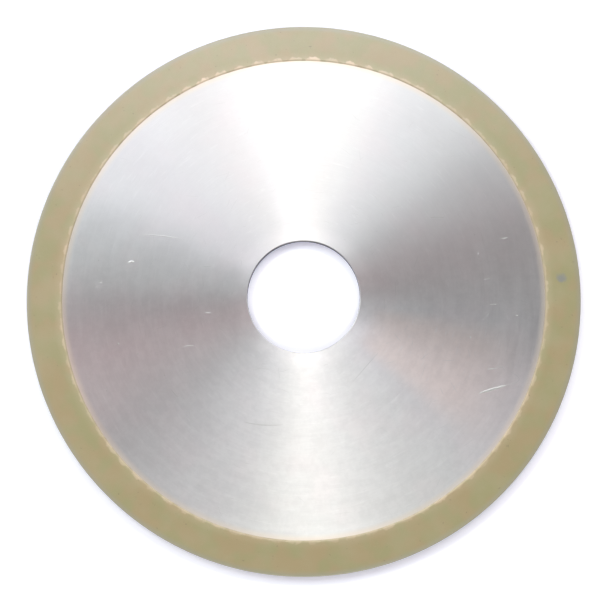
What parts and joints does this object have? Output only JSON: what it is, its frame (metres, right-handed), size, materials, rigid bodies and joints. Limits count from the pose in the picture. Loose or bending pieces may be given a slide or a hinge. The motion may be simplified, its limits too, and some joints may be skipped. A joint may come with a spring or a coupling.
{
  "type": "diamond cutting disc",
  "caption": "Flat round cutting disc: a ground steel blank with a plain arbor bore and a resin-bond diamond rim moulded over its notched edge.",
  "frame": {"origin": "centre of the arbor bore, halfway through the disc's thickness", "axes": "+Z along the spin axis, out of the side that the picture shows; +Y through the middle of one notch of the blank, towards the top of the picture"},
  "size_m": [0.125, 0.125, 0.002],
  "materials": {
    "ground_steel": "bright, ground in fine concentric lines",
    "resin_bond": "matte olive-khaki resin filled with fine diamond grit"
  },
  "bodies": {
    "root": {"steel_core": "ground_steel", "diamond_rim": "resin_bond"}
  },
  "joints": []
}
